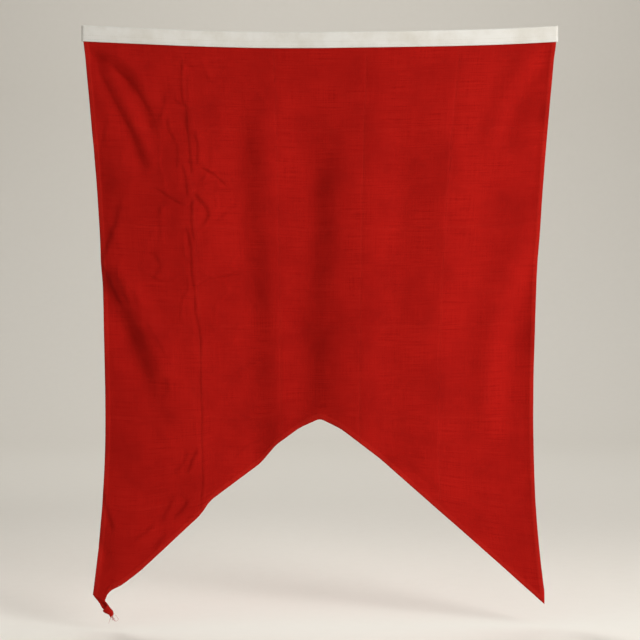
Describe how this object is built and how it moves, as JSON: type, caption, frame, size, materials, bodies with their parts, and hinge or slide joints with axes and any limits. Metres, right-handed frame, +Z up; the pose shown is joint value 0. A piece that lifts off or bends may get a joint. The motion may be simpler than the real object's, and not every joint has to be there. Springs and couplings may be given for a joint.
{
  "type": "swallowtail signal flag",
  "caption": "Red swallowtail signal flag hung by its canvas heading, with soft hanging folds, pressed creases and one worn tail rolled into a frayed twist.",
  "frame": {"origin": "middle of the heading's top edge, where the flag is held", "axes": "+Z up along the fly towards the hoist, +X to the right seen from the front, front face towards -Y"},
  "size_m": [0.737, 0.0383, 0.9112],
  "materials": {
    "red_bunting": "matt plain-woven bunting, creased, a little faded and soiled",
    "white_canvas": "matt off-white canvas tape"
  },
  "bodies": {
    "root": {"flag_cloth": "red_bunting", "heading": "white_canvas"}
  },
  "joints": []
}
